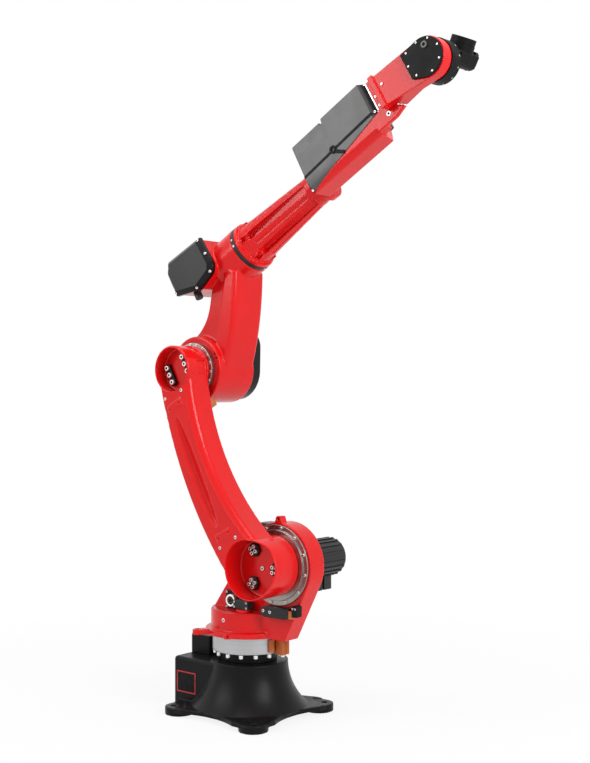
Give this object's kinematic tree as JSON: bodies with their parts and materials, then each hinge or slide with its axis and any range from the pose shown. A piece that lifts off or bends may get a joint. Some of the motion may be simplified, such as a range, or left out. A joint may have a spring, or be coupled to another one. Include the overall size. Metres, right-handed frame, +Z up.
{
  "type": "six-axis industrial robot arm",
  "caption": "Floor-standing industrial robot arm: turning base, bowed lower arm, cranked elbow, long tapered forearm with side-mounted wrist and a bolt-on tool flange.",
  "frame": {"origin": "floor level on the first axis, in the middle of the four foot bolts", "axes": "+Z up along the first axis, +X forward in the plane of the arm, +Y to the side of the second axis motor"},
  "size_m": [1.1018, 0.414, 2.0277],
  "materials": {
    "red_paint": "satin gloss",
    "black_paint": "satin",
    "black_cover": "matt",
    "machined_steel": "turned",
    "dark_steel": "oiled",
    "orange_stop": "matt"
  },
  "bodies": {
    "base": {"base_casting": "black_paint", "rear_panel": "machined_steel", "rear_sockets": "machined_steel", "j1_motor_cap": "black_paint", "j1_reducer_hub": "black_paint"},
    "turret": {"j1_ring": "machined_steel", "turret_casting": "red_paint", "j1_stop_block": "orange_stop", "j1_stop_pad": "orange_stop", "connector_plate": "black_paint", "round_connector": "machined_steel", "cable_boss": "red_paint", "side_connector": "black_cover", "j2_ring": "dark_steel", "j2_motor_flange": "dark_steel", "j2_motor": "black_cover", "j2_motor_sockets": "black_cover", "cable_box": "black_cover", "j2_stop_plate": "black_paint", "j2_bumper": "orange_stop", "bumper_bracket": "black_paint"},
    "lower_arm": {"lower_arm_casting": "red_paint", "j2_clamp_plates": "dark_steel", "j3_clamp_plates": "dark_steel", "j3_stop_block": "orange_stop"},
    "elbow": {"elbow_casting": "red_paint", "j3_ring": "dark_steel", "j3_motor_cover": "black_cover", "j4_motor_cover": "black_cover", "j4_motor_socket": "machined_steel", "j4_seal_ring": "black_cover"},
    "forearm": {"forearm_tube": "red_paint", "forearm_housing": "red_paint", "forearm_cover": "black_cover", "wrist_extension": "red_paint", "j5_side_cover": "black_cover", "j5_cover_boss": "black_cover"},
    "wrist": {"wrist_hub": "black_paint", "wrist_body": "black_paint", "wrist_end_cap": "black_paint"},
    "tool": {"tool_flange": "black_paint"}
  },
  "joints": [
    {"name": "j1", "type": "hinge", "parent": "base", "child": "turret", "pos_m": [0, 0, 0.203], "axis": [0, 0, 1], "range_deg": [-155, 155]},
    {"name": "j2", "type": "hinge", "parent": "turret", "child": "lower_arm", "pos_m": [0.17, 0, 0.492], "axis": [0, 1, 0], "range_deg": [-37, 118]},
    {"name": "j3", "type": "hinge", "parent": "lower_arm", "child": "elbow", "pos_m": [-0.15025, 0, 1.09379], "axis": [0, -1, 0], "range_deg": [-77, 108]},
    {"name": "j4", "type": "hinge", "parent": "elbow", "child": "forearm", "pos_m": [0.01114, 0, 1.48549], "axis": [0.8607, 0, 0.509], "range_deg": [-180, 180]},
    {"name": "j5", "type": "hinge", "parent": "forearm", "child": "wrist", "pos_m": [0.77349, 0, 1.93635], "axis": [0, -1, 0], "range_deg": [-152, 78]},
    {"name": "j6", "type": "hinge", "parent": "wrist", "child": "tool", "pos_m": [0.8055, 0, 2.01401], "axis": [0.3811, 0, 0.9245], "range_deg": [-360, 360]}
  ]
}
